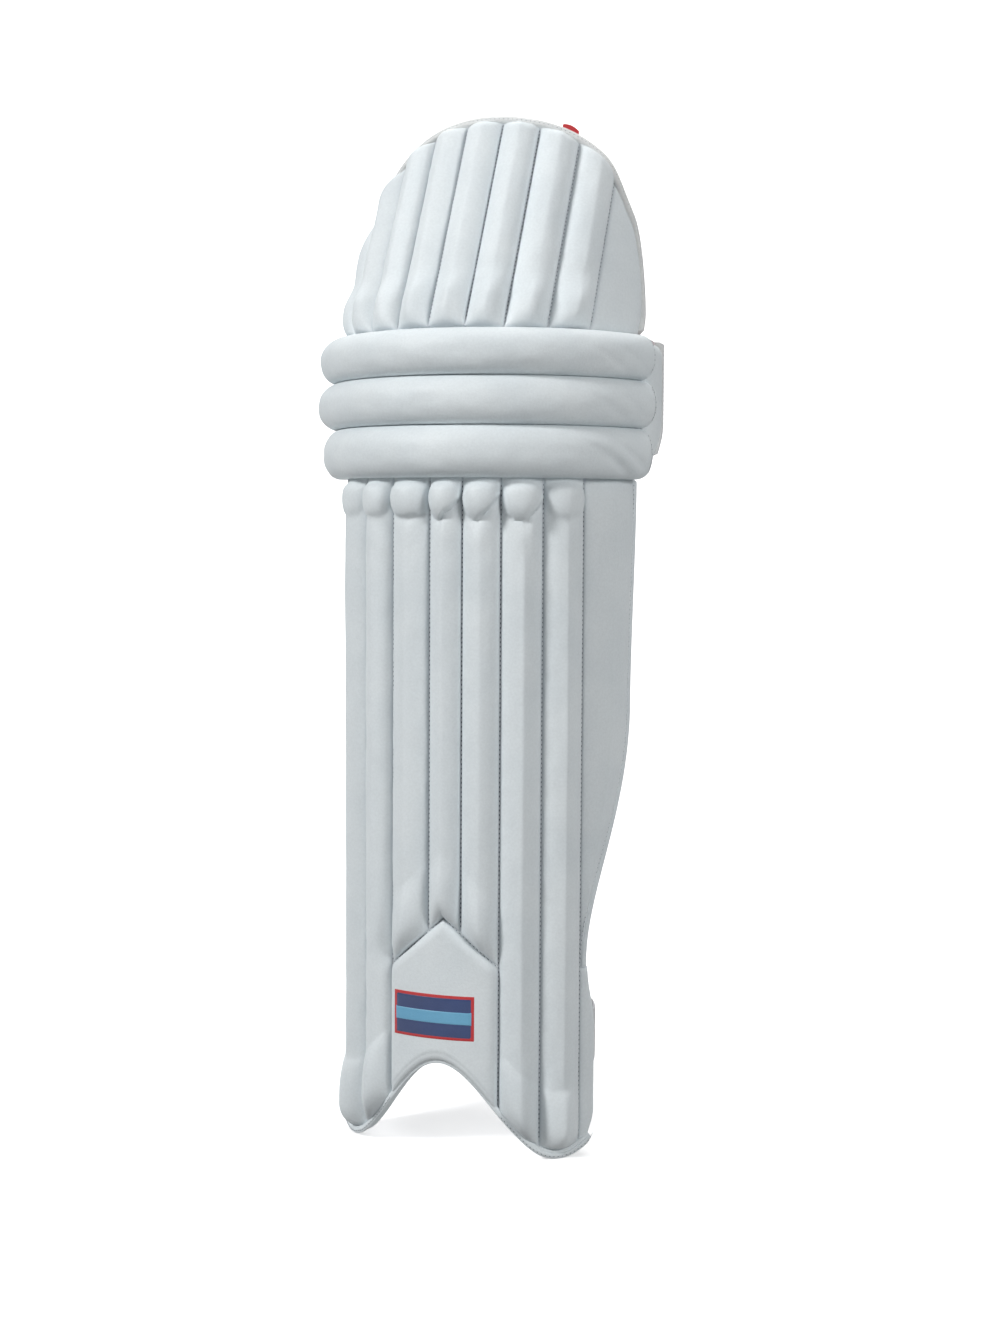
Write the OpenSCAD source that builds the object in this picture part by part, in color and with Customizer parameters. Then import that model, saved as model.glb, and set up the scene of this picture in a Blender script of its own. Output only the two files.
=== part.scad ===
// Cricket batting pad for the left leg.
// The leg's axis is the Z axis, the pad's front faces -Y and its outer side is +X.
// Angles are measured about that axis from the front, positive towards +X.

/* [Shell] */
// Radius of the stitched valleys of the facing about the leg's axis
seam_r = 110; // [105:1:115]
// How far a padded channel stands proud of its seams
crown = 7; // [5:0.5:9]
// Thickness of the facing and its glue
skin = 1.6; // [1.2:0.1:2]
// Inner face of the lining about the leg's axis
inner_r = 94; // [92:0.5:95]
// Thickness of the lining
lining_t = 2; // [1.5:0.25:2.5]
// Outer radius of the foam board behind the channels
board_r = 102.7; // [101:0.1:104]
// Height of the shin shell, up to the knee rolls
shin_h = 453; // [430:1:470]

/* [Foot opening] */
// Height of the arch over the foot
arch_h = 63; // [50:1:75]
// Half the width of the arch where it meets the toes
arch_half = 76; // [70:1:80]
// Sideways place of the arch's top
arch_x = -3; // [-6:1:6]
// How far the bottom edge rises outside the toes
toe_rise = 10; // [5:1:15]
// Width of the binding round the bottom edge
binding_w = 5; // [3:0.5:7]

/* [Instep] */
// Height of the chevron's point
chevron_h = 161; // [150:1:170]
// Fall of the chevron for each mm sideways
chevron_slope = 0.88; // [0.7:0.02:1]
// Width of the piping in the chevron seam
piping_w = 3; // [2:0.5:4]

/* [Knee rolls] */
// Heights of the three knee rolls, lowest first
roll_hs = [33.5, 32, 30.5];
// Outer radius of the rolls about the leg's axis
roll_r = 125; // [122:0.5:127]
// Gap left between neighbouring rolls
roll_gap = 0.5; // [0.4:0.1:1]
// How far each knee roll tips back on the one below
roll_flex = 5; // [3:1:6]

/* [Thigh flap] */
// Height of the flap along its own surface
flap_h = 166; // [150:1:175]
// Backward tilt of the flap at rest
flap_tilt = 28; // [20:1:32]
// How far the flap folds further back
flap_back = 12; // [6:1:14]
// How far the flap folds forward
flap_forward = 25; // [15:1:28]

/* [Outer wing] */
// Where the wing's edge starts to widen above the ankle
wing_low = 130; // [120:1:140]
// How far the wing folds in round the calf
wing_flex = 9; // [5:1:10]

/* [Straps] */
// Width of the webbing
strap_w = 38; // [30:1:42]
// Thickness of the webbing
strap_t = 2.4; // [2:0.1:3]
// Thickness of the hook and loop patches
patch_t = 1.2; // [0.8:0.1:1.4]

/* [Hidden] */
$fn = 96;
clear = 0.5;
white = [0.90, 0.91, 0.93];
grey = [0.62, 0.63, 0.66];
foam_blue = [0.55, 0.68, 0.80];

// Seams between the shin's channels, and between the flap's
shin_seams = [-53, -36, -21.6, -6, 6, 19.5, 34.3, 49.8];
flap_seams = [-63, -49, -34, -20, -7, 6.5, 20, 35, 51];
flap_edge = 77;
cane_r = 4.5;
cane_at = board_r + cane_r + 1;
lining_r = inner_r + lining_t;

// ---------- shared shapes ----------
module ring(r1, r2, a1, a2, z1, z2) {
    rotate([0, 0, a1 - 90])
        rotate_extrude(angle = a2 - a1)
            translate([r1, z1])
                square([r2 - r1, z2 - z1]);
}

// A solid whose outline in the front view is the given polygon
module front(points) {
    rotate([90, 0, 0])
        linear_extrude(height = 200)
            polygon(points);
}

// A solid whose outline in the side view, as [y, z], is the given polygon
module side(points) {
    rotate([90, 0, 90])
        linear_extrude(height = 200)
            polygon(points);
}

function half_angle(seams, i) = (seams[i + 1] - seams[i]) / 2;
function mid_angle(seams, i) = (seams[i + 1] + seams[i]) / 2;
function swell(seams, i) = seam_r + crown - seam_r * cos(half_angle(seams, i));
function channel_r(seams, i) = let (w = seam_r * sin(half_angle(seams, i)), h = swell(seams, i))
    (w * w + h * h) / (2 * h);

// The round fronts of the channels, each drawn in by the given amount
module channels(seams, inset, z1, z2) {
    for (i = [0 : len(seams) - 2])
        rotate([0, 0, mid_angle(seams, i) - 90])
            translate([seam_r + crown - channel_r(seams, i), 0, z1])
                cylinder(r = channel_r(seams, i) - inset, h = z2 - z1);
}

module rods(seams, z1, z2) {
    for (i = [0 : len(seams) - 2])
        rotate([0, 0, mid_angle(seams, i) - 90])
            translate([cane_at, 0, z1[i]])
                cylinder(r = cane_r, h = z2[i] - z1[i]);
}

// ---------- outlines ----------
function bottom_z(x) = let (d = abs(x - arch_x))
    d < arch_half ? arch_h * pow(cos(90 * d / arch_half), 2) : toe_rise * pow((d - arch_half) / 17, 2);
function chevron_z(x) = chevron_h - chevron_slope * abs(x);
bottom_step = 5;

module above_bottom(lift) {
    front(concat([for (x = [-115 : bottom_step : 115]) [x, bottom_z(x) + lift]], [[115, 500], [-115, 500]]));
}

module below_chevron(lift) {
    front([[-90, -5], [-90, chevron_z(90) + lift], [0, chevron_h + lift], [90, chevron_z(90) + lift], [90, -5]]);
}

function smooth(t) = let (c = min(max(t, 0), 1)) c * c * (3 - 2 * c);
function wing_edge(z) = -64.8 + 38 * smooth((z - wing_low) / 170) + 6 * smooth((z - 300) / 155);

module inside_wing_edge(trim) {
    side(concat([for (z = [wing_low - 10 : 15 : shin_h + 20]) [wing_edge(z) - trim, z]],
        [[-110, shin_h + 20], [-110, wing_low - 10]]));
}

// ---------- shin ----------
module shin_zone() {
    ring(60, 130, shin_seams[0], shin_seams[7], -5, shin_h);
}

// The instep lies between the two seams, a little inside them
instep_a = [shin_seams[2] + 0.5, shin_seams[5] - 0.5];

module instep_zone(lift) {
    intersection() {
        ring(60, 130, instep_a[0], instep_a[1], -5, 200);
        below_chevron(lift);
    }
}

module shin_channels(inset) {
    difference() {
        intersection() {
            channels(shin_seams, inset, -10, shin_h + 10);
            shin_zone();
            above_bottom(binding_w);
        }
        translate([0, 0, -5]) cylinder(r = board_r, h = 500);
        instep_zone(piping_w);
    }
}

function is_instep(i) = i >= 2 && i <= 4;
function cane_x(i) = cane_at * sin(mid_angle(shin_seams, i));
shin_cane_z1 = [for (i = [0 : 6]) is_instep(i)
    ? chevron_z(cane_x(i)) + piping_w + 12 : bottom_z(cane_x(i)) + binding_w + 14];
shin_cane_z2 = [for (i = [0 : 6]) shin_h - 40];

module shin_facing() {
    color(white) difference() {
        shin_channels(0);
        channels(shin_seams, skin, -5, shin_h + 5);
    }
}

module shin_channel_filling() {
    color(foam_blue) difference() {
        shin_channels(skin);
        rods(shin_seams, shin_cane_z1, shin_cane_z2);
    }
}

module shin_canes() {
    color("burlywood") rods(shin_seams, shin_cane_z1, shin_cane_z2);
}

module shin_foam_board() {
    color(foam_blue) intersection() {
        ring(lining_r, board_r, shin_seams[0], shin_seams[7], -5, shin_h);
        above_bottom(binding_w);
    }
}

module shin_lining() {
    color(grey) intersection() {
        ring(inner_r, lining_r, shin_seams[0], shin_seams[7], -5, shin_h);
        above_bottom(binding_w);
    }
}

instep_r = seam_r + crown - 3;

module instep_layer(r1, r2) {
    intersection() {
        ring(r1, r2, instep_a[0], instep_a[1], -5, 200);
        below_chevron(0);
        above_bottom(binding_w);
    }
}

module instep_panel() {
    color(white) instep_layer(instep_r - skin, instep_r);
}

module instep_foam() {
    color(foam_blue) instep_layer(board_r, instep_r - skin);
}

module chevron_piping() {
    color(white) difference() {
        intersection() {
            ring(board_r, instep_r + 0.5, instep_a[0], instep_a[1], 60, 200);
            below_chevron(piping_w);
        }
        below_chevron(0);
    }
}

module instep_patch() {
    color("navy") ring(instep_r, instep_r + 1, -18, 12, 80, 112);
}

module lower_edge_binding() {
    color(white) difference() {
        intersection() {
            ring(inner_r, seam_r + 1, shin_seams[0], 57, -5, 80);
            above_bottom(0);
        }
        above_bottom(binding_w);
    }
}

// ---------- inner wing and ankle panel ----------
wing_out_r = 108;
inner_wing_a = -72;
inner_wing_z = [150, 450];
ankle_a = 57;
ankle_z2 = wing_low - 12;

module inner_wing() {
    color(white) difference() {
        ring(inner_r, wing_out_r, inner_wing_a + 2, shin_seams[0], inner_wing_z[0], inner_wing_z[1]);
        inner_wing_core();
    }
}

module inner_wing_core() {
    ring(inner_r + skin, wing_out_r - skin, inner_wing_a + 3, shin_seams[0] - 1, inner_wing_z[0] + skin,
        inner_wing_z[1] - skin);
}

module inner_wing_foam() {
    color(foam_blue) inner_wing_core();
}

module inner_wing_binding() {
    color(white) ring(inner_r, wing_out_r + 0.5, inner_wing_a, inner_wing_a + 2, inner_wing_z[0],
        inner_wing_z[1]);
}

module ankle_core() {
    intersection() {
        ring(inner_r + skin, wing_out_r - skin, shin_seams[7] + 0.8, ankle_a - 0.8, -5, ankle_z2 - skin);
        above_bottom(binding_w + skin);
    }
}

module ankle_panel() {
    color(white) difference() {
        intersection() {
            ring(inner_r, wing_out_r, shin_seams[7], ankle_a, -5, ankle_z2);
            above_bottom(binding_w);
        }
        ankle_core();
    }
}

module ankle_panel_foam() {
    color(foam_blue) ankle_core();
}

// ---------- bolsters that hold the shell off the leg ----------
module shin_bolsters() {
    color(grey) for (a = [-28, 0, 28])
        ring(inner_r - 9, inner_r, a - 9, a + 9, 140, 440);
}

module ankle_bolster() {
    color(grey) ring(inner_r - 9, inner_r, -36, 34, 92, 128);
}

// ---------- outer wing ----------
wing_a1 = shin_seams[7] + 0.8;
wing_a2 = 80;
wing_trim = 5;

module wing_layer(r1, r2, trim) {
    intersection() {
        ring(r1, r2, wing_a1, wing_a2, wing_low, shin_h - 1);
        inside_wing_edge(trim);
    }
}

module outer_wing_facing() {
    color(white) wing_layer(wing_out_r - skin, wing_out_r, wing_trim);
}

module outer_wing_foam() {
    color(foam_blue) wing_layer(lining_r, wing_out_r - skin, wing_trim);
}

module outer_wing_lining() {
    color(grey) wing_layer(inner_r, lining_r, wing_trim);
}

module outer_wing_binding() {
    color(white) difference() {
        wing_layer(inner_r, wing_out_r + 0.5, 0);
        inside_wing_edge(wing_trim);
    }
}

// ---------- knee rolls ----------
roll_base = shin_h + 1.2;
roll_back_r = 98;
roll_z = [roll_base, roll_base + roll_hs[0], roll_base + roll_hs[0] + roll_hs[1],
    roll_base + roll_hs[0] + roll_hs[1] + roll_hs[2]];
roll_a = 76;
roll_pivot_y = -80;

module roll_profile(i, inset) {
    r = (roll_hs[i] - roll_gap) / 2;
    intersection() {
        translate([roll_r - r, roll_z[i] + roll_hs[i] / 2])
            circle(r = r - inset);
        translate([roll_r - r - 1, roll_z[i]])
            square([r + 2, roll_hs[i]]);
    }
    translate([roll_back_r + inset, roll_z[i] + roll_gap / 2 + inset])
        square([roll_r - r - roll_back_r - inset, 2 * (r - inset)]);
}

// What lies behind the pivot is cut away under a plane that rises by the flex angle
module flex_wedge(z, y, angle) {
    translate([0, y, z])
        rotate([angle, 0, 0])
            translate([-150, 0, -150])
                cube([300, 250, 150]);
}

module roll_body(i, inset, trim) {
    difference() {
        rotate([0, 0, -roll_a + trim - 90])
            rotate_extrude(angle = 2 * (roll_a - trim))
                roll_profile(i, inset);
        flex_wedge(roll_z[i] + roll_gap / 2 + inset, roll_pivot_y, roll_flex);
    }
}

module roll_cover(i) {
    color(white) difference() {
        roll_body(i, 0, 0);
        roll_body(i, skin, 1);
    }
}

module roll_foam(i) {
    color(foam_blue) roll_body(i, skin, 1);
}

module backing(i) {
    color(grey) difference() {
        ring(roll_back_r - lining_t, roll_back_r, -roll_a, roll_a, roll_z[i] + roll_gap / 2,
            roll_z[i + 1] - roll_gap / 2);
        flex_wedge(roll_z[i] + roll_gap / 2, roll_pivot_y, roll_flex);
    }
}

module knee_roll_3() roll_cover(0);
module knee_roll_3_foam() roll_foam(0);
module knee_backing_3() backing(0);
module knee_roll_2() roll_cover(1);
module knee_roll_2_foam() roll_foam(1);
module knee_backing_2() backing(1);
module knee_roll_1() roll_cover(2);
module knee_roll_1_foam() roll_foam(2);
module knee_backing_1() backing(2);

module knee_bolster() {
    color(grey) ring(roll_back_r - lining_t - 11, roll_back_r - lining_t, -34, 34, roll_z[1] + 4, roll_z[2] - 3);
}

// ---------- padded knee wing behind the rolls' outer ends ----------
knee_wing_a = [84, 98];
knee_wing_r = [102, 118];
knee_wing_z = [462, 542];

module knee_wing_core() {
    ring(knee_wing_r[0] + skin, knee_wing_r[1] - skin, knee_wing_a[0] + 1, knee_wing_a[1] - 1,
        knee_wing_z[0] + skin, knee_wing_z[1] - skin);
}

module knee_wing() {
    color(white) difference() {
        union() {
            ring(knee_wing_r[0], knee_wing_r[1], knee_wing_a[0], knee_wing_a[1], knee_wing_z[0], knee_wing_z[1]);
            ring(knee_wing_r[0], knee_wing_r[0] + 3, roll_a, knee_wing_a[0], roll_z[1] + 9, roll_z[2] - 2);
        }
        knee_wing_core();
    }
}

module knee_wing_foam() {
    color(foam_blue) knee_wing_core();
}

// ---------- thigh flap ----------
flap_z = roll_z[3] + 0.6;
flap_pivot_y = -104;
flap_inner_r = 98;
flap_board_r = 101;
flap_cane_at = flap_board_r + cane_r + 1;
flap_peak_a = 8;
flap_span = 73;

// The outline is a rounded arch that falls away faster over the side panel
function flap_fall(a) = 10 * smooth((a - 46) / 14) + 11 * smooth((a - 62) / 13);
function flap_top(a) = flap_h * pow(max(1 - pow(abs(a - flap_peak_a) / flap_span, 2.6), 0), 1 / 2.6)
    - flap_fall(a);

module flap_outline(drop) {
    front(concat([[-seam_r * sin(66), -60]],
        [for (a = [-64 : 4 : flap_edge + 3]) [seam_r * sin(a), flap_top(a) - drop]],
        [[seam_r * sin(flap_edge + 4), -60]]));
}

// Puts a solid from the flap's own upright frame into its tilted place, and trims its foot for the folds
module flap_place() {
    difference() {
        translate([0, flap_pivot_y, flap_z])
            rotate([-flap_tilt, 0, 0])
                translate([0, -flap_pivot_y, 0])
                    children();
        translate([-150, flap_pivot_y - 100, flap_z - 150])
            cube([300, 350, 150]);
        flex_wedge(flap_z, flap_pivot_y, flap_back);
        translate([0, flap_pivot_y, flap_z])
            rotate([-flap_forward, 0, 0])
                translate([-150, -100, -150])
                    cube([300, 100, 150]);
    }
}

module flap_channels(inset) {
    difference() {
        intersection() {
            channels(flap_seams, inset, -60, flap_h);
            ring(60, 130, flap_seams[0], flap_seams[8], -60, flap_h);
            flap_outline(binding_w);
        }
        translate([0, 0, -70]) cylinder(r = flap_board_r, h = 400);
    }
}

flap_cane_z1 = [for (i = [0 : 7]) 60 * pow(abs(sin(mid_angle(flap_seams, i))), 2) + 20];
flap_cane_z2 = [for (i = [0 : 7]) flap_top(mid_angle(flap_seams, i)) - 22];

module flap_rods() {
    for (i = [0 : 7])
        rotate([0, 0, mid_angle(flap_seams, i) - 90])
            translate([flap_cane_at, 0, flap_cane_z1[i]])
                cylinder(r = cane_r, h = flap_cane_z2[i] - flap_cane_z1[i]);
}

module thigh_facing() {
    color(white) flap_place() difference() {
        flap_channels(0);
        channels(flap_seams, skin, -65, flap_h + 5);
    }
}

module thigh_channel_filling() {
    color(foam_blue) flap_place() difference() {
        flap_channels(skin);
        flap_rods();
    }
}

module thigh_canes() {
    color("burlywood") flap_place() flap_rods();
}

module thigh_lining() {
    color(grey) flap_place() intersection() {
        ring(flap_inner_r, flap_board_r, flap_seams[0], flap_edge, -60, flap_h);
        flap_outline(binding_w);
    }
}

module thigh_gusset() {
    color(white) flap_place() intersection() {
        ring(flap_board_r, seam_r - 3, flap_seams[8], flap_edge, -60, flap_h);
        flap_outline(binding_w);
    }
}

module thigh_binding() {
    color(white) flap_place() difference() {
        intersection() {
            ring(flap_inner_r, seam_r + 1, flap_seams[0], flap_edge, -60, flap_h + 1);
            flap_outline(0);
        }
        flap_outline(binding_w);
    }
}

module thigh_tab() {
    color("firebrick") flap_place() ring(flap_inner_r - 1, flap_inner_r, 31, 39, flap_h - 32, flap_h - 14);
}

// ---------- straps ----------
// Each strap lies on a circle of its own: [centre x, centre y, radius, root angle, end angle, mid height]
calf = [-2.5, -2, 94.8, 80.4, 256, 330];
knee = [-1, 0, 101.7, 101, 266, 502.5];
ankle = [4, -34, 75.4, 78.6, 254, 68];
tab_drop = 2 * patch_t + clear;
knee_tab_w = roll_hs[1] - 4;

module band(s, r1, r2, a1, a2, w) {
    translate([s[0], s[1], 0])
        ring(r1, r2, a1, a2, s[5] - w / 2, s[5] + w / 2);
}

module strap(s) {
    color("whitesmoke") band(s, s[2] - strap_t / 2, s[2] + strap_t / 2, s[3], s[4], strap_w);
}

module hook(s) {
    color("dimgray") band(s, s[2] - strap_t / 2 - patch_t, s[2] - strap_t / 2, s[4] - 22, s[4] - 2, strap_w - 6);
}

function tab_r(s) = s[2] - strap_t / 2 - tab_drop;

module loop_tab(s, from, w) {
    color("whitesmoke") band(s, tab_r(s) - strap_t, tab_r(s), s[4] - 22, from, w);
}

module loop_patch(s, w) {
    color("dimgray") band(s, tab_r(s), tab_r(s) + patch_t, s[4] - 20, s[4] + 14, w - 6);
}

module anchor(r, a, z) {
    color("whitesmoke") ring(r - strap_t, r, a - 12, a, z - strap_w / 2, z + strap_w / 2);
}

module knee_strap() strap(knee);
module knee_strap_hook() hook(knee);
module knee_strap_anchor() anchor(knee_wing_r[0], 96, knee[5]);
module knee_loop_tab() loop_tab(knee, 283.6, knee_tab_w);
module knee_loop_patch() loop_patch(knee, knee_tab_w);
module calf_strap() strap(calf);
module calf_strap_hook() hook(calf);
module calf_strap_anchor() anchor(inner_r, 76.5, calf[5]);
module calf_loop_tab() loop_tab(calf, 298, strap_w);
module calf_loop_patch() loop_patch(calf, strap_w);
module ankle_strap() strap(ankle);
module ankle_strap_hook() hook(ankle);
module ankle_strap_anchor() anchor(inner_r, 56, ankle[5]);
module ankle_loop_tab() loop_tab(ankle, 305, strap_w);
module ankle_loop_patch() loop_patch(ankle, strap_w);

module calf_strap_sleeve() {
    color(grey) band(calf, calf[2] - strap_t / 2 - 6, calf[2] - strap_t / 2, 145, 210, strap_w + 12);
}

// ---------- drawing ----------
shin_facing();
shin_channel_filling();
shin_canes();
shin_foam_board();
shin_lining();
instep_panel();
instep_foam();
chevron_piping();
instep_patch();
lower_edge_binding();
inner_wing();
inner_wing_foam();
inner_wing_binding();
ankle_panel();
ankle_panel_foam();
shin_bolsters();
ankle_bolster();
outer_wing_facing();
outer_wing_foam();
outer_wing_lining();
outer_wing_binding();
knee_roll_1();
knee_roll_1_foam();
knee_backing_1();
knee_roll_2();
knee_roll_2_foam();
knee_backing_2();
knee_roll_3();
knee_roll_3_foam();
knee_backing_3();
knee_bolster();
knee_wing();
knee_wing_foam();
thigh_facing();
thigh_channel_filling();
thigh_canes();
thigh_lining();
thigh_gusset();
thigh_binding();
thigh_tab();
knee_strap();
knee_strap_hook();
knee_strap_anchor();
knee_loop_tab();
knee_loop_patch();
calf_strap();
calf_strap_hook();
calf_strap_anchor();
calf_loop_tab();
calf_loop_patch();
calf_strap_sleeve();
ankle_strap();
ankle_strap_hook();
ankle_strap_anchor();
ankle_loop_tab();
ankle_loop_patch();
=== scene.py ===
import math

import bpy
import numpy as np
from mathutils import Matrix, Vector


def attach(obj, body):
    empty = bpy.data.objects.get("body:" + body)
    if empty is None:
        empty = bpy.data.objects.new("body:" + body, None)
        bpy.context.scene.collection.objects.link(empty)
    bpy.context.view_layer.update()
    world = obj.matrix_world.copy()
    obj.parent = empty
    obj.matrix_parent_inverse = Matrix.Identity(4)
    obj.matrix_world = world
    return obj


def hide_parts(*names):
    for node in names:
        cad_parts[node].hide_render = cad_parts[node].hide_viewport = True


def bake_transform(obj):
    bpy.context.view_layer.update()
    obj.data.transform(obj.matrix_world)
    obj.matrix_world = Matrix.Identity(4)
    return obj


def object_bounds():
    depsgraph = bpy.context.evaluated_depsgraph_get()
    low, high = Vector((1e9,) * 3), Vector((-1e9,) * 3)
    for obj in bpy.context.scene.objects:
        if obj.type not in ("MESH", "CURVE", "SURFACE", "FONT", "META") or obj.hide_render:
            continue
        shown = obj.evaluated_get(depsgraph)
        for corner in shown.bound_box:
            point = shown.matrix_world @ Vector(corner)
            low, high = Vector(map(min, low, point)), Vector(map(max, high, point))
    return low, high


# Lengths are in millimetres until a mesh is written. Angles are in degrees about the leg's axis
# from the front, positive towards the outer side.
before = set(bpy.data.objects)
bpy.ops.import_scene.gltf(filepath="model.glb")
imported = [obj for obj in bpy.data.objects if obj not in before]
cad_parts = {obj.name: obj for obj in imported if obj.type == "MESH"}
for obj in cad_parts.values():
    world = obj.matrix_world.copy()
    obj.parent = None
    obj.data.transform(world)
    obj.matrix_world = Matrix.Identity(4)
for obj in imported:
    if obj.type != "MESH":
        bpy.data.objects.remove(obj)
cad_low, cad_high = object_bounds()

SHIN = np.array([-53, -36, -21.6, -6, 6, 19.5, 34.3, 49.8])
FLAP = np.array([-63, -49, -34, -20, -7, 6.5, 20, 35, 51])
VALLEY = 108.0
PITCH = 3.1
SHIN_TOP = 453.6
PIVOT_Y, FLAP_Z, TILT = -104.0, 550.8, math.radians(28)
FLAP_EDGE = 77.0
ROLLS = [454.2, 487.7, 519.7, 550.2]

# ---------- numbers ----------
LATTICE = np.random.default_rng(11).random((64, 64))


def noise(x, y, k=0):
    """Smooth noise from -1 to 1 over a plane."""
    x, y = np.asarray(x, float) + 17.3 * k, np.asarray(y, float) + 5.9 * k
    i, j = np.floor(x).astype(int), np.floor(y).astype(int)
    f, g = x - i, y - j
    f, g = f * f * (3 - 2 * f), g * g * (3 - 2 * g)

    def at(p, q):
        return LATTICE[p % 64, q % 64]

    low = at(i, j) * (1 - f) + at(i + 1, j) * f
    high = at(i, j + 1) * (1 - f) + at(i + 1, j + 1) * f
    return 2 * (low * (1 - g) + high * g) - 1


def smooth(t):
    t = np.clip(t, 0, 1)
    return t * t * (3 - 2 * t)


def bell(x, width):
    return np.exp(-((x / width) ** 2))


def swell(e, power=2.3, end=0.6):
    """A pillow's rise from 0 at its edge to 1 inside."""
    return (1 - (1 - np.clip(e, 0, 1)) ** power) ** end


def dome(e, low=0.0):
    """A quarter circle's rise from 0 to 1, for rounding the end of a tube."""
    return np.sqrt(np.maximum(1 - (1 - np.clip(e, low, 1)) ** 2, 0))


def arc(a, r=110.0):
    return np.radians(a) * r


def cyl(r, a, z):
    t = np.radians(a)
    return np.stack([r * np.sin(t), -r * np.cos(t), z + 0 * r * t], -1)


def flap(r, a, s):
    """A point of the thigh flap: s is the height along its own tilted face."""
    t = np.radians(a)
    dy = -r * np.cos(t) - PIVOT_Y
    c, n = math.cos(TILT), math.sin(TILT)
    return np.stack([r * np.sin(t) + 0 * s, PIVOT_Y + dy * c + s * n, FLAP_Z - dy * n + s * c], -1)


def bottom(x):
    d = np.abs(x + 3)
    inside = 63 * np.cos(np.radians(np.minimum(90 * d / 76, 90))) ** 2
    return np.where(d < 76, inside, 10 * ((d - 76) / 17) ** 2)


def bottom_at(a):
    return bottom(110 * np.sin(np.radians(a)))


def chevron_at(a):
    return 161 - 0.88 * np.abs(110 * np.sin(np.radians(a)))


def flap_top(a):
    fall = 10 * smooth((a - 46) / 14) + 11 * smooth((a - 62) / 13)
    return -fall + 166 * np.maximum(1 - (np.abs(a - 8) / 73) ** 2.6, 0) ** (1 / 2.6)


def flap_foot(a, r=110.0):
    dy = -r * np.cos(np.radians(a)) - PIVOT_Y
    return np.maximum(dy, 0) * math.tan(TILT) + np.minimum(dy, 0) * 0.2


def wing_y(z):
    return -64.8 + 38 * smooth((z - 130) / 170) + 6 * smooth((z - 300) / 155)


def wing_edge(z):
    return np.degrees(np.arccos(-wing_y(z) / 108))


# ---------- meshes ----------
def coords(o):
    co = np.zeros(len(o.data.vertices) * 3, np.float64)
    o.data.vertices.foreach_get("co", co)
    return co.reshape(-1, 3)


def put(o, points):
    o.data.vertices.foreach_set("co", (np.asarray(points) / 1000).ravel())
    o.data.update()


def grid(name, nu, nv):
    bpy.ops.object.select_all(action="DESELECT")
    bpy.ops.mesh.primitive_grid_add(x_subdivisions=nu, y_subdivisions=nv, size=2)
    o = bpy.context.object
    o.name = o.data.name = name
    return o


def close(o, weld=False, angle=50):
    """Turns the normals outward and, for a tube, joins its seam and ends."""
    bpy.context.view_layer.objects.active = o
    bpy.ops.object.mode_set(mode="EDIT")
    bpy.ops.mesh.select_all(action="SELECT")
    if weld:
        bpy.ops.mesh.remove_doubles(threshold=2e-5)
        bpy.ops.mesh.fill_holes(sides=0)
        bpy.ops.mesh.select_all(action="SELECT")
    bpy.ops.mesh.normals_make_consistent(inside=False)
    bpy.ops.object.mode_set(mode="OBJECT")
    bpy.ops.object.shade_smooth_by_angle(angle=math.radians(angle))


def solid(name, nu, nv, front, back, seam=None):
    """A closed piece: front(u, v) is its face and back(u, v) its other face; seam(u, v) gives painted shade
    for its grooves and edges.
    """
    o = grid(name, nu, nv)
    bpy.ops.object.mode_set(mode="EDIT")
    bpy.ops.mesh.select_all(action="SELECT")
    bpy.ops.mesh.extrude_region_move(TRANSFORM_OT_translate={"value": (0, 0, -1)})
    bpy.ops.object.mode_set(mode="OBJECT")
    co = coords(o)
    u, v = (co[:, 0] + 1) / 2, (co[:, 1] + 1) / 2
    rear = co[:, 2] < -0.5
    put(o, np.where(rear[:, None], back(u, v), front(u, v)))
    # the 'seam' attribute is a painted shade mask that darkens the grooves and edges
    if seam is not None:
        dark = o.data.attributes.new("seam", "FLOAT", "POINT")
        dark.data.foreach_set("value", np.where(rear, 0, seam(u, v)).astype(np.float32))
    close(o)
    return o


def loft(name, nu, nv, shape, angle=50):
    """A closed tube: u runs along it and v round it."""
    o = grid(name, nu, nv)
    co = coords(o)
    put(o, shape((co[:, 0] + 1) / 2, (co[:, 1] + 1) / 2))
    close(o, weld=True, angle=angle)
    return o


def section(v, power_x=2.4, power_y=2.4):
    """A rounded box's outline, from -1 to 1 both ways."""
    t = 2 * math.pi * v
    c, s = np.cos(t), np.sin(t)
    return np.sign(c) * np.abs(c) ** (2 / power_x), np.sign(s) * np.abs(s) ** (2 / power_y)


def tape(name, line, out, face, width, half, nv=24, over=0.6):
    """Edge binding: line, out and face are points and directions along the edge."""
    count = len(line) - 1

    def shape(u, v):
        k = np.clip(np.round(u * count).astype(int), 0, count)
        x, y = section(v, 3, 4)
        taper = np.minimum(1, 0.6 + np.minimum(u, 1 - u) * count * 0.4)[:, None]
        away = out[k] * ((x - 1) * width / 2 + over)[:, None]
        return line[k] + away + face[k] * (y * half)[:, None] * taper

    return loft(name, count, nv, shape, 60)


def spread(points, step):
    """The same line with its points at even steps."""
    points = np.asarray(points, float)
    gaps = np.r_[0, np.cumsum(np.linalg.norm(np.diff(points, axis=0), axis=1))]
    at = np.linspace(0, gaps[-1], max(2, int(round(gaps[-1] / step)) + 1))
    return np.stack([np.interp(at, gaps, points[:, i]) for i in range(points.shape[1])], -1)


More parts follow.
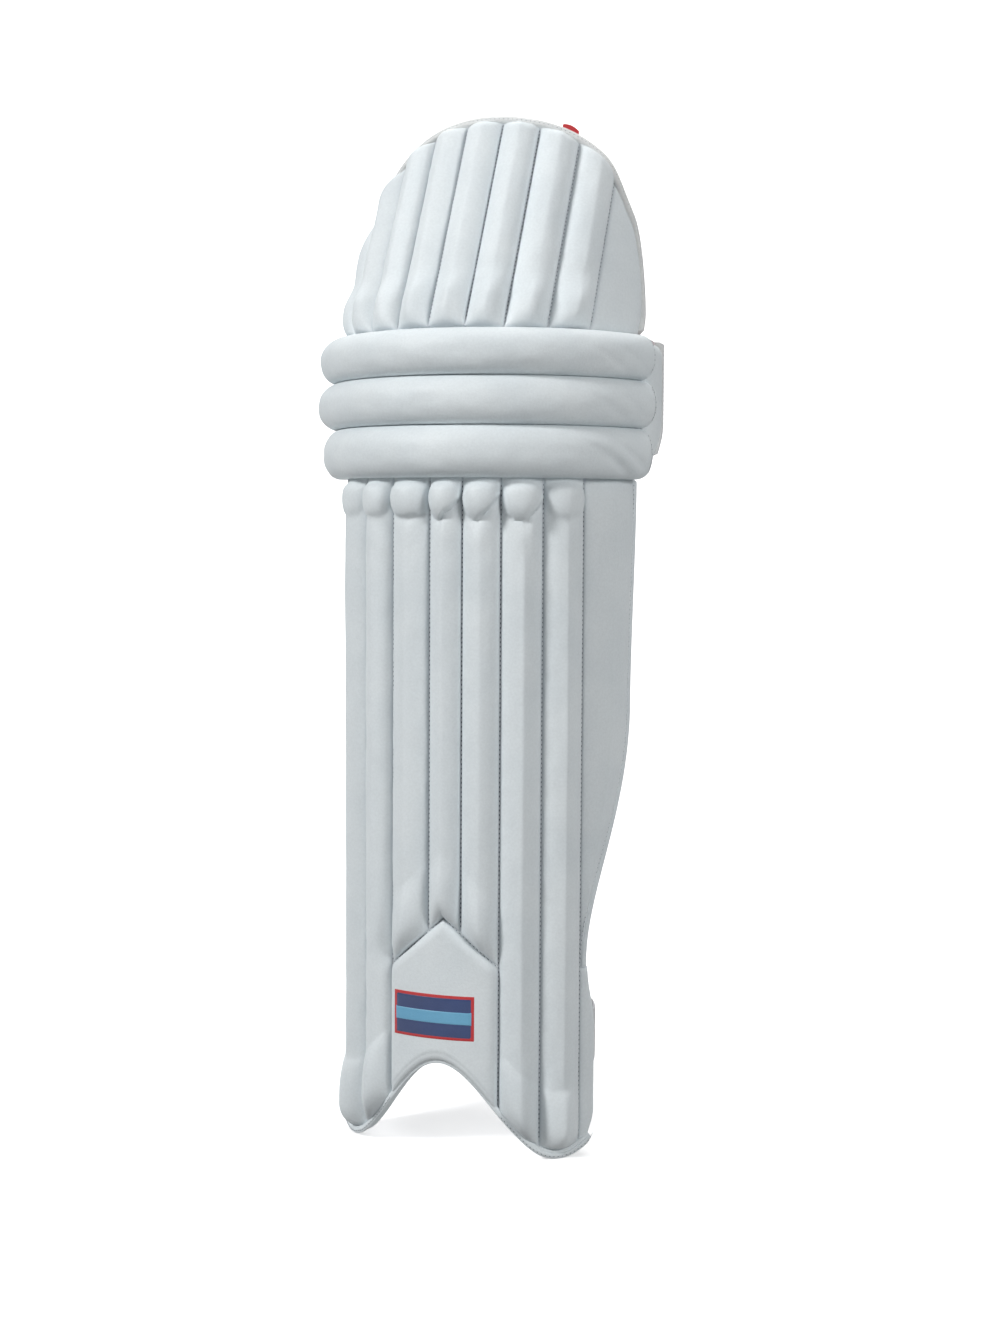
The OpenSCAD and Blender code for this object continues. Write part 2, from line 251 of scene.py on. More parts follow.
def stitch_mesh(name, rows, size, sides, rings, shift=0.0):
    """Many small copies of one bead, along rows of (points, outward directions)."""
    verts, faces, base = [], [], 0
    ring = []
    for i in range(1, rings):
        p = math.pi * i / rings
        for j in range(sides):
            q = 2 * math.pi * j / sides
            ring.append([math.cos(p), math.sin(p) * math.cos(q), math.sin(p) * math.sin(q)])
    bead = np.array([[1, 0, 0], *ring, [-1, 0, 0]]) * np.array(size)
    last = len(bead) - 1
    bead_faces = []
    for j in range(sides):
        n = (j + 1) % sides
        bead_faces.append([0, 1 + j, 1 + n])
        for i in range(rings - 2):
            a, b = 1 + i * sides, 1 + (i + 1) * sides
            bead_faces.append([a + j, b + j, b + n, a + n])
        bead_faces.append([last, last - sides + n, last - sides + j])
    for points, away in rows:
        if len(points) < 3:
            continue
        along = np.gradient(points, axis=0)
        along /= np.linalg.norm(along, axis=1)[:, None] + 1e-12
        away = away - along * (away * along).sum(1)[:, None]
        away /= np.linalg.norm(away, axis=1)[:, None] + 1e-12
        across = np.cross(away, along)
        for p, x, y, n in zip(points, along, across, away):
            verts.append(p + x * shift + bead @ np.array([x, y, n]))
            faces.extend([[base + k for k in f] for f in bead_faces])
            base += len(bead)
    mesh = bpy.data.meshes.new(name)
    mesh.from_pydata((np.concatenate(verts) / 1000).tolist(), [], faces)
    o = bpy.data.objects.new(name, mesh)
    bpy.context.scene.collection.objects.link(o)
    mesh.shade_smooth()
    return o


# ---------- materials ----------
def link(tree, a, b):
    tree.links.new(a, b)


def texture(tree, kind, source, scale, **settings):
    node = tree.nodes.new(kind)
    for key, value in settings.items():
        if key in node.inputs:
            node.inputs[key].default_value = value
        else:
            setattr(node, key, value)
    node.inputs["Scale"].default_value = scale
    link(tree, source, node.inputs["Vector"])
    return node


def finish_of(name, light, dark, rough=0.42, grain=900, grain_depth=0.00012, crease=0.0003, weave=0,
              weave_depth=0.0002, sheen=0.0, coat=0.0, seam_shade_color=None, spec=0.5):
    """A procedural surface: a two-tone colour, pore grain, soft creases and, if asked, a weave and painted
    seam shade.
    """
    m = bpy.data.materials.new(name)
    m.use_nodes = True
    t = m.node_tree
    bsdf = next(n for n in t.nodes if n.type == "BSDF_PRINCIPLED")
    where = t.nodes.new("ShaderNodeTexCoord").outputs["Object"]
    cloud = texture(t, "ShaderNodeTexNoise", where, 28, Detail=4)
    ramp = t.nodes.new("ShaderNodeValToRGB")
    ramp.color_ramp.elements[0].position, ramp.color_ramp.elements[1].position = 0.32, 0.68
    ramp.color_ramp.elements[0].color, ramp.color_ramp.elements[1].color = (*dark, 1), (*light, 1)
    link(t, cloud.outputs["Fac"], ramp.inputs["Fac"])
    color = ramp.outputs["Color"]
    fine = texture(t, "ShaderNodeTexNoise", where, 620, Detail=2)
    tone = t.nodes.new("ShaderNodeMapRange")
    tone.inputs["To Min"].default_value, tone.inputs["To Max"].default_value = 0.92, 1.06
    link(t, fine.outputs["Fac"], tone.inputs["Value"])
    mottle = t.nodes.new("ShaderNodeMix")
    mottle.data_type, mottle.blend_type = "RGBA", "MULTIPLY"
    mottle.inputs["Factor"].default_value = 1.0
    link(t, color, mottle.inputs["A"])
    link(t, tone.outputs["Result"], mottle.inputs["B"])
    color = mottle.outputs["Result"]
    # painted shade: the 'seam' attribute darkens the grooves and edges, standing in for the shade that falls
    # there
    if seam_shade_color:
        seam = t.nodes.new("ShaderNodeAttribute")
        seam.attribute_name = "seam"
        mix = t.nodes.new("ShaderNodeMix")
        mix.data_type = "RGBA"
        link(t, seam.outputs["Fac"], mix.inputs["Factor"])
        link(t, color, mix.inputs["A"])
        mix.inputs["B"].default_value = (*seam_shade_color, 1)
        color = mix.outputs["Result"]
    link(t, color, bsdf.inputs["Base Color"])
    spots = texture(t, "ShaderNodeTexNoise", where, 160, Detail=3)
    rough_map = t.nodes.new("ShaderNodeMapRange")
    rough_map.inputs["To Min"].default_value = rough - 0.06
    rough_map.inputs["To Max"].default_value = rough + 0.08
    link(t, spots.outputs["Fac"], rough_map.inputs["Value"])
    link(t, rough_map.outputs["Result"], bsdf.inputs["Roughness"])
    bsdf.inputs["Sheen Weight"].default_value = sheen
    bsdf.inputs["Coat Weight"].default_value = coat
    bsdf.inputs["Coat Roughness"].default_value = 0.35
    bsdf.inputs["Specular IOR Level"].default_value = spec
    layers = []
    if crease:
        layers.append((texture(t, "ShaderNodeTexNoise", where, 75, Detail=3).outputs["Fac"], crease, 0.35))
    if grain:
        pores = texture(t, "ShaderNodeTexVoronoi", where, grain)
        layers.append((pores.outputs["Distance"], grain_depth, 0.5))
    if weave:
        for turn in ((0, 0, 0), (0, math.pi / 2, 0)):
            turned = t.nodes.new("ShaderNodeMapping")
            turned.inputs["Rotation"].default_value = turn
            link(t, where, turned.inputs["Vector"])
            wave = texture(t, "ShaderNodeTexWave", turned.outputs["Vector"], weave, Distortion=0.6)
            layers.append((wave.outputs["Fac"], weave_depth, 0.7))
    normal = None
    for height, depth, strength in layers:
        bump = t.nodes.new("ShaderNodeBump")
        bump.inputs["Strength"].default_value = strength
        bump.inputs["Distance"].default_value = depth
        link(t, height, bump.inputs["Height"])
        if normal:
            link(t, normal, bump.inputs["Normal"])
        normal = bump.outputs["Normal"]
    if normal:
        link(t, normal, bsdf.inputs["Normal"])
    return m


WHITE = (0.76, 0.81, 0.83)
SHADE = (0.71, 0.765, 0.79)
# the leather's darker seam tone is painted shade for its grooves and edges
LEATHER = finish_of("white_pu", WHITE, SHADE, 0.56, seam_shade_color=(0.52, 0.56, 0.60), coat=0.02, spec=0.42)
CLOTH = {"rough": 0.85, "grain": 520, "grain_depth": 0.0004, "weave": 300, "sheen": 0.3, "spec": 0.25}
TAPE = finish_of("binding_tape", (0.90, 0.91, 0.90), (0.80, 0.82, 0.82), 0.75, 0,
                 weave=420, sheen=0.3, spec=0.3)
KNIT = finish_of("lining_knit", (0.62, 0.66, 0.72), (0.54, 0.58, 0.65), **CLOTH)
PINK = finish_of("wing_lining", (0.60, 0.52, 0.53), (0.50, 0.43, 0.45), **CLOTH)
WEB = finish_of("webbing", (0.74, 0.75, 0.76), (0.64, 0.66, 0.68), 0.8, 0, weave=260,
                weave_depth=0.0005, sheen=0.3, spec=0.3)
FUZZ = finish_of("hook_and_loop", (0.66, 0.68, 0.70), (0.50, 0.52, 0.55), 0.95, 700,
                 0.0012, 0.0006, sheen=0.5, spec=0.2)
THREAD = finish_of("thread", (0.86, 0.88, 0.90), (0.76, 0.78, 0.82), 0.6, 0, crease=0, weave=900)
# dark beads for the needle holes: the holes are real, but their darkness is painted shade
HOLE_SHADE = finish_of("needle_hole_shade", (0.26, 0.29, 0.33), (0.16, 0.19, 0.22), 0.9, 0, crease=0, spec=0.1)
FOAM = finish_of("foam", (0.52, 0.64, 0.76), (0.44, 0.56, 0.70), 0.9, 380, 0.0008, spec=0.2)
CANE = finish_of("cane", (0.62, 0.43, 0.22), (0.47, 0.31, 0.14), 0.55, 0, weave=60)
NAVY = finish_of("patch_navy", (0.030, 0.055, 0.16), (0.022, 0.04, 0.12), 0.4, 700, 0.00008)
RED = finish_of("patch_red", (0.55, 0.035, 0.04), (0.46, 0.025, 0.03), 0.45, 700, 0.00008)
BLUE = finish_of("patch_blue", (0.16, 0.42, 0.62), (0.13, 0.36, 0.55), 0.4, 700, 0.00008)
FLOOR = finish_of("floor", (0.93, 0.935, 0.94), (0.91, 0.915, 0.92), 0.9, 0, crease=0, spec=0.1)


def dress(o, material):
    o.data.materials.clear()
    o.data.materials.append(material)
    return o


def add(o, body, material, replaces=()):
    """Places a piece: its body, its finish and what it stands for."""
    dress(o, material)
    if isinstance(body, str):
        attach(o, body)
    else:
        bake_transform(o)
    if replaces:
        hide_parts(*replaces)
    return o


HINGED = ("roll_1", "flap")
stitch_rows = {"shin": [], "outer_wing": [], HINGED: [], "roll_1": [], "roll_2": [], "roll_3": []}


def stitch(body, points, away, step=PITCH):
    """One row of machine stitches for a body, through points, standing off along away."""
    joined = spread(np.hstack([points, away]), step)
    stitch_rows[body].append((joined[:, :3], joined[:, 3:]))


def stitch_round(body, r, a, z, lift=0.25):
    a, z = np.broadcast_arrays(np.asarray(a, float), np.asarray(z, float))
    p = cyl(r + lift, a, z)
    away = cyl(1.0, a, 0 * z)
    stitch(body, p, away)


# ---------- channels ----------
def across(seams, u):
    """Angle, channel number and place across it, from -1 to 1, for u from 0 to 1."""
    n = len(seams) - 1
    i = np.clip(np.floor(u * n).astype(int), 0, n - 1)
    s = np.clip((u * n - i) * 2 - 1, -1, 1)
    t = 0.45 * s + 0.55 * np.sin(s * math.pi / 2)
    half = (seams[i + 1] - seams[i]) / 2
    return (seams[i + 1] + seams[i]) / 2 + half * t, i, t, arc(half)


def crown(t, w, tent):
    """Height across a channel from 0 at the seam to 1; tent sharpens it to a ridge."""
    e = np.clip(((1 - np.abs(t)) * w - 0.45) / (w - 0.45), 0, 1)
    ridge = 0.86 * swell(e, 1.7, 0.62) + 0.14 * e
    peak = (0.60 * e + 0.40 * swell(e, 3.5, 0.5)) * 1.02
    return (1 - tent) * ridge + tent * peak


RIDGE = np.array([0.15, 0.20, 0.15, 0.20, 0.30, 0.85, 0.85])
PINCH = np.array([0.20, 0.35, 0.55, 0.9, 0.95, 0.8, 0.35])
CHIN = np.array([0.0, 0.0, 0.1, -0.28, -0.22, 0.10, 0.0])
LEFT = np.array([0.1, 0.15, 0.2, 0.5, 0.45, 0.25, 0.15])
RIGHT = np.array([0.1, 0.2, 0.35, 1.15, 1.15, 1.2, 0.15])
SHARP = np.array([9.0, 8.0, 6.0, 1.6, 1.6, 1.8, 8.0])
BULB = np.array([0.85, 0.95, 1.05, 1.1, 1.1, 1.05, 0.85])


def facing_back(a, z):
    """Radius of the facing's hidden face, which closes towards the foot's edge."""
    return 102.9 + 3.6 * (1 - smooth((z - bottom_at(a)) / 26))


def shin_part(name, first, last, low, end_h, end_l, end_power=0.75):
    """The facing over the channels from first to last. low(a) is its bottom edge."""
    seams = SHIN[first : last + 2]

    def place(u, v):
        a, i, t, w = across(seams, u)
        i = i + first
        z0 = low(a)
        z = z0 + (SHIN_TOP - z0) * v
        return a, i, t, w, z, z - z0

    def front(u, v):
        a, i, t, w, z, b = place(u, v)
        x = t * w
        d = (1 - np.abs(t)) * w
        chin = CHIN[i] * w
        fold = 424.5 + np.where(x > chin, RIGHT[i] * (x - chin), LEFT[i] * (chin - x))
        fold = fold + 0.8 * noise(x / 5, i * 2.1, 3)
        above = z - fold
        shaft = 8.3 + 0.5 * noise(i * 3.7, z / 120, 1)
        shaft = shaft - PINCH[i] * 3.3 * np.where(above > 0, smooth(1 - above / 9), np.exp(above / 7.5))
        shaft = shaft - 0.9 * PINCH[i] * bell(z - 405, 8) * bell(x - 3, 5)
        shaft = shaft * crown(t, w, RIDGE[i] * smooth((418 - z) / 25) * smooth((b - end_l) / 30))
        round_ = np.clip(1 - (x / (w * 0.98)) ** 2 - ((z - 439.5) / 16.5) ** 2, 0, 1) ** 0.5
        bulb = 11.6 * BULB[i] * round_ * smooth(above / SHARP[i] + 0.35)
        full = (np.maximum(shaft, 0) ** 5 + bulb**5) ** 0.2
        full = full * (0.38 + 0.62 * smooth((SHIN_TOP + 1 - z) / 9))
        hump = np.clip(1 - ((b - 0.42 * end_l) / (0.62 * end_l)) ** 2, 0, 1) ** end_power
        full = full + end_h * (1 - 0.5 * t**4) * hump * crown(t, w, 0)
        full = full * np.maximum(swell(b / 17, 2.2, 0.5), 0.03)
        wander = 0.30 * noise(arc(a) / 11, z / 34, 2) + 0.20 * noise(arc(a) / 4.5, z / 14, 4)
        wander = wander * smooth(d / 5) * smooth(b / 12)
        pucker = 0.6 * noise(z / 6.5, i * 5.3 + np.sign(t), 5) * np.exp(-d / 4) * smooth((d - 0.4) / 2)
        beat = 0.16 * np.cos(2 * math.pi * z / PITCH) * np.exp(-d / 1.6)
        return cyl(VALLEY + full + wander + pucker + beat, a, z)

    def back(u, v):
        a, _, _, _, z, _ = place(u, v)
        return cyl(facing_back(a, z), a * 0.999, z)

    # painted shade: darkens the grooves between channels and the facing's bottom edge
    def seam(u, v):
        a, i, t, w, z, b = place(u, v)
        return 0.8 * bell((1 - np.abs(t)) * w, 0.8) + 0.3 * bell(b, 1.5)

    return solid(name, 34 * (len(seams) - 1), 260, front, back, seam)


def left_low(a):
    return bottom_at(a) + 3.6


def middle_low(a):
    return chevron_at(a) + 0.7


left = shin_part("shin_facing_left", 0, 1, left_low, 5.6, 46)
middle = shin_part("shin_facing_middle", 2, 4, middle_low, 3.8, 44, 1.5)
right = shin_part("shin_facing_right", 5, 6, left_low, 4.4, 40)
add(left, "shin", LEATHER, ["shin_facing", "shin_channel_filling"])
add(middle, "shin", LEATHER, ["shin_facing", "shin_channel_filling"])
add(right, "shin", LEATHER, ["shin_facing", "shin_channel_filling"])
for a in SHIN:
    low = chevron_at(a) + 4 if abs(a) < 7 else bottom_at(a) + 9
    z = np.arange(low, 449, 3.0)
    stitch_round("shin", VALLEY, a, z)

# ---------- instep ----------
INSTEP = (-21.5, 19.4)


def instep(u, v):
    a = INSTEP[0] + (INSTEP[1] - INSTEP[0]) * u
    z0, z1 = bottom_at(a) + 2.2, chevron_at(a) + 0.1
    return a, z0 + (z1 - z0) * v, z0, z1


def instep_front(u, v):
    a, z, z0, z1 = instep(u, v)
    side = np.minimum(arc(a - INSTEP[0]), arc(INSTEP[1] - a))
    rise = swell(side / 9, 2.4, 0.55) * (0.10 + 0.90 * swell((z1 - z) / 9, 2.2, 0.55))
    rise = rise * (0.35 + 0.65 * swell((z - z0) / 9, 2, 0.5))
    r = VALLEY + 0.3 + 5.4 * rise - 0.25 * bell(z - z0 - 5.5, 1.2)
    return cyl(r + 0.25 * noise(arc(a) / 15, z / 15, 7) * smooth(side / 6), a, z)


def instep_back(u, v):
    a, z, z0, z1 = instep(u, v)
    return cyl(facing_back(a, z), a, z)


# painted shade: darkens the instep cover's sides and its top along the chevron
def instep_seam_shade(u, v):
    a, z, z0, z1 = instep(u, v)
    side = np.minimum(arc(a - INSTEP[0]), arc(INSTEP[1] - a))
    return 0.6 * bell(side, 0.8) + 0.2 * bell(z1 - z, 0.8)


panel = solid("instep_cover", 90, 110, instep_front, instep_back, instep_seam_shade)
add(panel, "shin", LEATHER, ["instep_panel", "instep_foam"])

a = np.linspace(-21, 19, 120)
stitch_round("shin", VALLEY + 0.9, a, chevron_at(a) + 0.5)
a = np.linspace(INSTEP[0], INSTEP[1], 130)
line = cyl(VALLEY - 0.6, a, chevron_at(a) + 0.6)
piping = tape("chevron_welt", line, np.tile([0, 0, 1.0], (len(a), 1)), cyl(1.0, a, 0 * a), 1.2, 1.1, 12, 0.6)
add(piping, "shin", LEATHER, ["chevron_piping"])


# ---------- the plain patch on the instep ----------
def patch(name, a0, a1, z0, z1, r, thick, material, replaces=()):
    def face(u, v, lift):
        a, z = a0 + (a1 - a0) * u, z0 + (z1 - z0) * v
        e = np.minimum(np.minimum(u, 1 - u) * arc(a1 - a0), np.minimum(v, 1 - v) * (z1 - z0))
        return cyl(r + lift * (0.3 + 0.7 * swell(e / 1.2)), a, z)

    o = solid(name, 40, 30, lambda u, v: face(u, v, thick), lambda u, v: face(u, v, -1.2))
    return add(o, "shin", material, replaces)


patch("instep_badge_edge", -18.2, 11.4, 80.5, 110.5, 113.6, 0.5, RED, ["instep_patch"])
patch("instep_badge", -17.3, 10.5, 82.2, 108.8, 113.8, 0.65, NAVY)
patch("instep_badge_band", -17.3, 10.5, 91.2, 99.8, 114.0, 0.75, BLUE)

# ---------- binding round the foot opening ----------
a = np.linspace(-53.3, 54.5, 300)
line = cyl(107.0, a, bottom_at(a) + 0.6)
step = np.gradient(line, axis=0)
face = cyl(1.0, a, 0 * a)
out = np.cross(step, face)
out /= np.linalg.norm(out, axis=1)[:, None]
out *= -np.sign(out[:, 2:3])
outer = tape("lower_binding", line, out, face, 3.8, 3.6, 30, 0.2)
add(outer, "shin", LEATHER, ["lower_edge_binding"])
lip = 0.3 + 1.8 * smooth((a - 24) / 12) * smooth((56 - a) / 4) + 1.3 * smooth((-30 - a) / 8)
line = cyl(109.6 + 0.5 * lip, a, bottom_at(a) + 0.9 - lip)
inner = tape("lower_binding_fold", line, out, face, 3.4, 1.0, 16, 0.4)
add(inner, "shin", LEATHER)
points = cyl(110.9 + 0.5 * lip, a, bottom_at(a) + 2.2 - lip)
for part in (a < -22, a > 20):
    stitch("shin", points[part], face[part])


# ---------- plain pads on the shell ----------
def pad(name, a0, a1, z0, z1, r0, r1, rise, soft, nu, nv):
    """A pad between two angles, which may vary with height, puffed outward or inward."""
    fa0 = a0 if callable(a0) else lambda z: a0 + 0 * z
    fa1 = a1 if callable(a1) else lambda z: a1 + 0 * z

    def at(u, v):
        z = z0 + (z1 - z0) * v
        return fa0(z) + (fa1(z) - fa0(z)) * u, z

    def edge(u, v):
        a, z = at(u, v)
        side = np.minimum(arc(a - fa0(z)), arc(fa1(z) - a))
        return swell(side / soft, 2.2, 0.55) * swell(np.minimum(z - z0, z1 - z) / soft, 2.2, 0.55), a, z

    def front(u, v):
        e, a, z = edge(u, v)
        return cyl(r1 - rise + rise * e + 0.3 * noise(arc(a) / 14, z / 22, 9) * e, a, z)

    def back(u, v):
        return cyl(r0, *at(u, v))

    # painted shade: darkens the pad round its edges, where it dips into the seams
    def seam(u, v):
        e, a, z = edge(u, v)
        return 0.5 * (1 - smooth(e * 4))

    return solid(name, nu, nv, front, back, seam)


wing = pad(
    "outer_wing_cover", SHIN[7] + 0.5, lambda z: wing_edge(z) - 1.8,
    124.5, 454.4, 96.6, 112.6, 6.2, 32, 60, 200,
)
add(wing, "outer_wing", LEATHER, ["outer_wing_facing", "outer_wing_foam"])
lining = pad(
    "outer_wing_lining_cloth", SHIN[7] + 1, lambda z: wing_edge(z) - 2.4,
    131, 451.5, 93.9, 96.4, 0.4, 10, 40, 120,
)
add(lining, "outer_wing", KNIT, ["outer_wing_lining"])
z = np.linspace(124.5, 454.2, 160)
edge_a = wing_edge(z)
line = cyl(101.0, edge_a, z)
step = np.gradient(line, axis=0)
face = cyl(1.0, edge_a, 0 * z)
out = np.cross(step, face)
out /= np.linalg.norm(out, axis=1)[:, None]
out *= np.sign((out * cyl(1.0, edge_a + 90, 0 * z)).sum(1))[:, None]
wing_tape = tape("outer_wing_tape", line, out, face, 5.2, 7.6, 24, 0.2)
add(wing_tape, "outer_wing", LEATHER, ["outer_wing_binding"])
stitch("outer_wing", cyl(108.9, edge_a - 3.4, z)[3:-3], face[3:-3])

inner_pad = pad("inner_wing_cover", -70.2, SHIN[0] - 0.2, 150.5, 449.5, 94.4, 108.6, 3.6, 14, 44, 150)
add(inner_pad, "shin", LEATHER, ["inner_wing", "inner_wing_foam"])
z = np.linspace(150, 450, 120)
line, face = cyl(101.2, -72 + 0 * z, z), cyl(1.0, -72 + 0 * z, 0 * z)
out = cyl(1.0, -162 + 0 * z, 0 * z)
inner_tape = tape("inner_wing_tape", line, out, face, 4.0, 7.4, 20, 0.0)
add(inner_tape, "shin", LEATHER, ["inner_wing_binding"])
stitch("shin", cyl(107.6, -69.2 + 0 * z, z)[3:-3], face[3:-3])
z = np.linspace(float(bottom_at(-53.4)) + 2, 153, 70)
line, face = cyl(101.2, -53.8 + 0 * z, z), cyl(1.0, -53.8 + 0 * z, 0 * z)
out = cyl(1.0, -143.8 + 0 * z, 0 * z)
add(tape("inner_toe_tape", line, out, face, 3.4, 7.3, 20, 0.0), "shin", LEATHER)


def ankle_edge(z):
    return 57.0 - 3.2 * smooth((z - 84) / 42) - 3.8 * (1 - smooth((z - 2) / 26))


ankle = pad("ankle_cover", SHIN[7] + 0.1, ankle_edge, 5.5, 126, 94.3, 109.8, 3.6, 6.0, 24, 90)
add(ankle, "shin", LEATHER, ["ankle_panel", "ankle_panel_foam"])
z = np.arange(16, 114, 2.2)
zig = ankle_edge(z) - 1.6 + 0.5 * np.where(np.arange(len(z)) % 2, 1, -1)
stitch("shin", cyl(108.5, zig, z), cyl(1.0, zig, 0 * z))

# ---------- inside of the shell ----------
def lining_at(u, v):
    """Angle, height, how near the foot's edge and distance from the nearest seam."""
    a, i, t, w = across(SHIN, u)
    z0 = bottom_at(a) + 2.2
    z = z0 + (452.5 - z0) * v
    return a, z, 1 - smooth((z - bottom_at(a)) / 30), (1 - np.abs(t)) * w


def lining_front(u, v):
    a, z, foot, d = lining_at(u, v)
    return cyl(97.0 + 9.0 * foot, a, z)


def lining_back(u, v):
    a, z, foot, d = lining_at(u, v)
    return cyl(94.0 + 10.2 * foot + 1.1 * np.exp(-d / 2.5) + 0.25 * noise(arc(a) / 12, z / 16, 12), a, z)


cloth = solid("shin_lining_cloth", 140, 150, lining_front, lining_back)
add(cloth, "shin", KNIT, ["shin_lining", "shin_foam_board"])


def bolster(name, spans, z0, z1, r0, r1, body, replaces):
    made = []
    for a0, a1 in spans:
        def shape(u, v, a0=a0, a1=a1):
            x, y = section(v, 2.6, 2.6)
            end = dome(np.minimum(u, 1 - u) * (z1 - z0) / 9 + 0.02)
            a = (a0 + a1) / 2 + x * (a1 - a0) / 2 * (0.35 + 0.65 * end)
            z = z0 + (z1 - z0) * u
            return cyl((r0 + r1) / 2 + y * (r1 - r0) / 2 * end + 0.3 * noise(z / 9, x * 2, 13), a, z)

        made.append(loft(name, 90, 30, shape))
    bpy.ops.object.select_all(action="DESELECT")
    for o in made:
        o.select_set(True)
    bpy.context.view_layer.objects.active = made[0]
    if len(made) > 1:
        bpy.ops.object.join()
    made[0].name = name
    return add(made[0], body, KNIT, replaces)


bolster("shin_bolster_pads", [(-37, -19), (-9, 9), (19, 37)], 140, 440, 84.6, 94.2, "shin", ["shin_bolsters"])
bolster("ankle_bolster_pad", [(-36, 34)], 92, 128, 84.6, 94.2, "shin", ["ankle_bolster"])
bolster("knee_bolster_pad", [(-34, 34)], ROLLS[1] + 4, ROLLS[2] - 3, 85.2, 96.2, "roll_2", ["knee_bolster"])


# ---------- knee rolls ----------
LEFT_END = (-2.0, 2.6, 0.6)


def roll(name, k, body, replaces):
    z0, z1 = ROLLS[k] - (0.9 if k == 0 else 0.1), ROLLS[k + 1] + 0.1
    a0, a1 = (-75.5, -80.5, -77.5)[k], (75.5, 77.5, 76.5)[k]
    rc, rx, rz = 111.4, 13.6, (z1 - z0) / 2

    def shape(u, v):
        s = 2 * u - 1
        a = a0 + (a1 - a0) * (0.5 + 0.5 * (0.8 * s + 0.2 * np.sin(s * math.pi / 2)))
        x, y = section(v, 2.25, 2.15)
        x = np.where(x < 0, np.sign(x) * np.abs(x) ** 0.55, x)
        near, far = arc(a - a0, 118), arc(a1 - a, 118)
        end, stop = dome(near / 13, 0.02), dome(far / 3.2, 0.06)
        size = (0.12 + 0.88 * end) * (0.72 + 0.28 * stop)
        bulge = 1 + 0.05 * bell(near - 14, 12)
        angle = np.arctan2(y, x)
        fold = 0.9 * noise(angle * 2.6, near / 16 + k, 20 + k) * np.exp(-near / 15)
        fold += 0.5 * noise(angle * 4.5, k, 24) * np.exp(-far / 9)
        skew = (a - 52) / 16 + y * 0.9
        wrinkle = -1.7 * bell(skew, 0.2) - 1.2 * bell(skew - 0.75, 0.16) + 0.8 * bell(skew - 0.37, 0.2)
        wrinkle = wrinkle * smooth((a - 26) / 25) * smooth((78 - a) / 14) * bell(y + 0.35, 0.65)
        wrinkle = wrinkle * (1.0 if k == 0 else 0.35)
        soft = 0.45 * noise(arc(a) / 21, y * 1.6 + 3 * k, 28) + 0.2 * noise(arc(a) / 7, y * 3 + 3 * k, 30)
        sag = -0.5 * np.maximum(x, 0)
        puff = np.where(x > 0, fold + soft + wrinkle, 0)
        r = rc + (rx * size * bulge * x) + puff * size
        r = r + LEFT_END[k] * smooth((-42 - a) / 28) * np.maximum(x, 0)
        z = (z0 + z1) / 2 + rz * size * y + sag + 0.4 * noise(arc(a) / 26, 2 * k, 33) * (1 - y * y)
        return cyl(r, a, np.clip(z, z0, z1))

    o = loft(name, 230, 64, shape)
    add(o, body, LEATHER, replaces)
    y = np.linspace(-0.62, 0.62, 40)
    seam_a = a1 - 1.9 + 0 * y
    r = rc + rx * np.maximum(1 - np.abs(y) ** 2.15, 0) ** (1 / 2.25) + 0.15
    stitch(body, cyl(r, seam_a, (z0 + z1) / 2 + rz * y - 0.3), cyl(1.0, seam_a, 0 * y), 3.4)
    return o


roll("knee_roll_low", 0, "roll_3", ["knee_roll_3", "knee_roll_3_foam"])
roll("knee_roll_mid", 1, "roll_2", ["knee_roll_2", "knee_roll_2_foam"])
roll("knee_roll_top", 2, "roll_1", ["knee_roll_1", "knee_roll_1_foam"])
for k in range(3):
    body = "roll_%d" % (3 - k)
    z0, z1 = ROLLS[k] + 0.3, ROLLS[k + 1] - 0.3
    o = pad("knee_lining_%d" % (3 - k), -76, 76, z0, z1, 95.9, 98.1, 0.6, 5, 120, 16)
    add(o, body, KNIT, ["knee_backing_%d" % (3 - k)])
    if k < 2:
        a = np.linspace(-72, 75.5, 200)
        seam_line, away = cyl(112.3, a, ROLLS[k + 1] + 0 * a), cyl(1.0, a, 0 * a)
        up = np.tile([0, 0, 1.0], (len(a), 1))
        welt = tape("knee_welt_%d" % (3 - k), seam_line, away, up, 12, 0.35, 12, 0)
        add(welt, body, LEATHER)
        stitch(body, cyl(112.6, a, ROLLS[k + 1] + 0 * a), away)


def hinge_cloth(name, z0, z1):
    """The cloth that joins two parts behind a seam."""
    def shape(u, v):
        return -74 + 148 * u, z0 + (z1 - z0) * v

    o = solid(name, 80, 8, lambda u, v: cyl(107.0, *shape(u, v)), lambda u, v: cyl(98.6, *shape(u, v)))
    dress(o, KNIT)
    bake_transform(o)


hinge_cloth("knee_hinge_3", 449.5, 458)
hinge_cloth("knee_hinge_2", 484, 491)
hinge_cloth("knee_hinge_1", 516, 523)

# ---------- knee wing ----------
def knee_wing_edge(z):
    return 85 + 12.5 * smooth((z - 460) / 34)


knee_wing = pad("knee_wing_cover", 77.5, knee_wing_edge, 462.5, 547.0, 102.4, 115.6, 8.0, 9.0, 50, 80)
add(knee_wing, "roll_2", LEATHER, ["knee_wing", "knee_wing_foam"])
corner = pad("knee_wing_lining_corner", 80, 96.5, 541, 550, 103.4, 110.5, 3.0, 4, 30, 16)
add(corner, "roll_2", PINK)
z = np.linspace(470, 549, 50)
edge_a = knee_wing_edge(z) + 0.4
face = cyl(1.0, edge_a, 0 * z)
rim = tape("knee_wing_tape", cyl(109.0, edge_a, z), cyl(1.0, edge_a + 90, 0 * z), face, 3.4, 6.6, 24, 0.6)
add(rim, "roll_2", TAPE)
stitch("roll_2", cyl(115.9, edge_a - 1.0, z), face)

# ---------- thigh flap ----------
RISE = np.array([0.9, 1.0, 1.0, 1.0, 1.0, 1.0, 1.0, 0.95])


